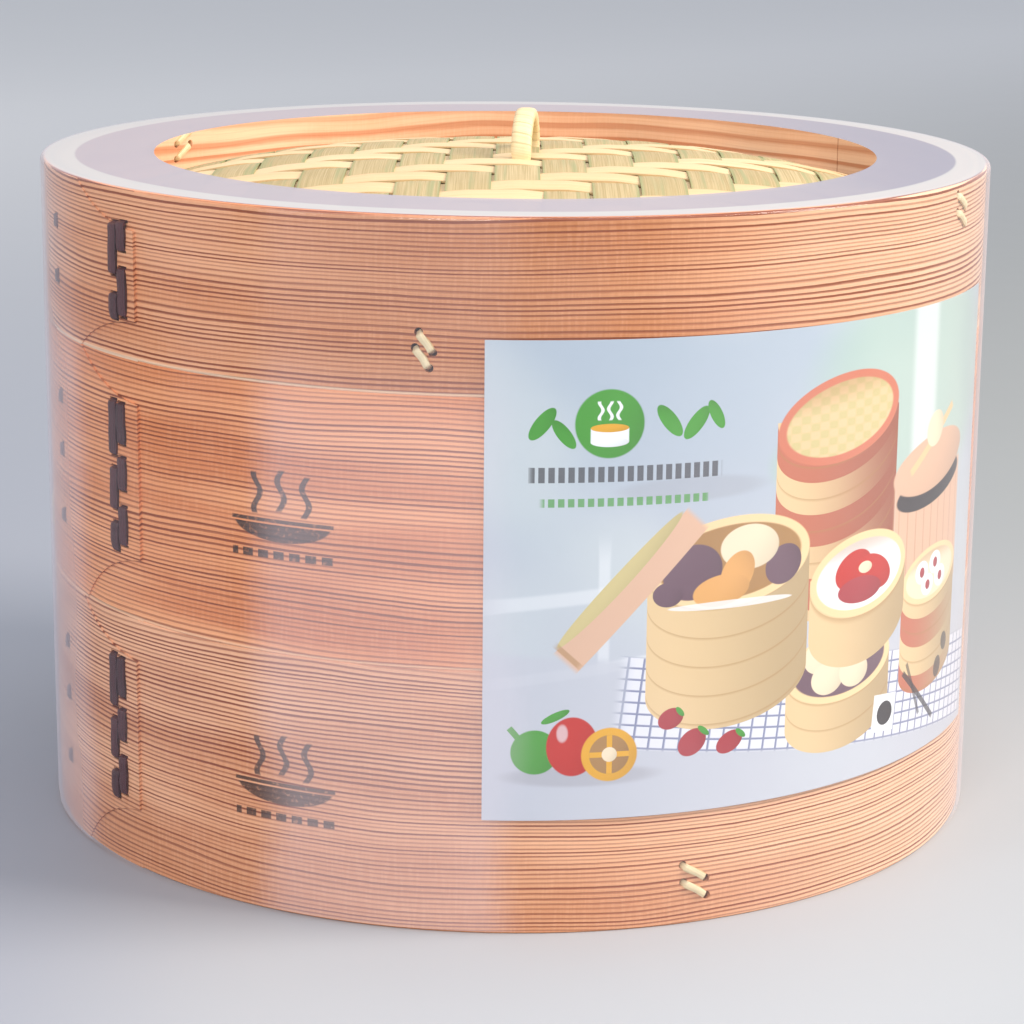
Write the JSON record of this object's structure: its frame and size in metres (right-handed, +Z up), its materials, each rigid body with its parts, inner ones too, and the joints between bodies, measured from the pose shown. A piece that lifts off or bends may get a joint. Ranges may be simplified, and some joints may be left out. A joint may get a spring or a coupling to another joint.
{
  "type": "round two-tier steamer basket",
  "caption": "Round stacking steamer of bent fir hoops with slatted floors, a domed woven bamboo lid with a loop handle, and a clear shrink film over all.",
  "frame": {"origin": "centre of the bottom rim of the lower tier, on the surface that it stands on", "axes": "+Z up along the hoops' common axis, -Y the front, where the hoop laps lie a little to the left and the label to the right"},
  "size_m": [0.3046, 0.3046, 0.2211],
  "materials": {
    "fir_lower": "planed, unvarnished fir",
    "fir_upper": "planed, unvarnished fir",
    "fir_lid": "planed, unvarnished fir",
    "fir_inner": "planed, unvarnished fir",
    "bamboo_slat": "split bamboo, planed",
    "bamboo_tie": "split bamboo skin",
    "lacing": "dyed cane, satin",
    "weave": "split bamboo, plain",
    "lining": "dry leaf",
    "handle_strip": "split bamboo skin, satin",
    "film": "clear shrink film",
    "label": "printed, coated"
  },
  "bodies": {
    "lower_tier": {"lower_tier_outer_hoop": "fir_lower", "lower_tier_liner_hoop": "fir_inner", "lower_tier_support_ring": "fir_inner", "lower_tier_bearers": "bamboo_slat", "lower_tier_floor_slats": "bamboo_slat", "lower_tier_floor_pegs": "bamboo_tie", "lower_tier_hoop_lacing": "lacing", "lower_tier_hoop_tacks": "lacing", "lower_tier_ring_ties": "bamboo_tie"},
    "upper_tier": {"upper_tier_outer_hoop": "fir_upper", "upper_tier_liner_hoop": "fir_inner", "upper_tier_support_ring": "fir_inner", "upper_tier_bearers": "bamboo_slat", "upper_tier_floor_slats": "bamboo_slat", "upper_tier_floor_pegs": "bamboo_tie", "upper_tier_hoop_lacing": "lacing", "upper_tier_hoop_tacks": "lacing", "upper_tier_ring_ties": "bamboo_tie"},
    "lid": {"lid_outer_hoop": "fir_lid", "lid_inner_hoop": "fir_inner", "lid_clamp_ring": "fir_inner", "lid_outer_weave": "weave", "lid_leaf_lining": "lining", "lid_inner_weave": "weave", "lid_front_rib": "bamboo_slat", "lid_back_rib": "bamboo_slat", "lid_hoop_lacing": "lacing", "lid_hoop_tacks": "lacing", "lid_upper_ties": "bamboo_tie", "lid_lower_ties": "bamboo_tie", "lid_handle_core": "handle_strip", "lid_handle_wrap": "handle_strip", "lid_handle_keeper": "bamboo_slat", "lid_keeper_pegs": "bamboo_tie"},
    "film": {"film_wall": "film", "film_collar": "film", "film_label": "label"}
  },
  "joints": [
    {"name": "upper_tier_lift", "type": "slide", "parent": "lower_tier", "child": "upper_tier", "axis": [0, 0, 1], "range_m": [0, 0.12]},
    {"name": "lid_lift", "type": "slide", "parent": "upper_tier", "child": "lid", "axis": [0, 0, 1], "range_m": [0, 0.12]},
    {"name": "film_pull", "type": "slide", "parent": "lid", "child": "film", "axis": [0, 0, 1], "range_m": [0, 0.25]}
  ]
}
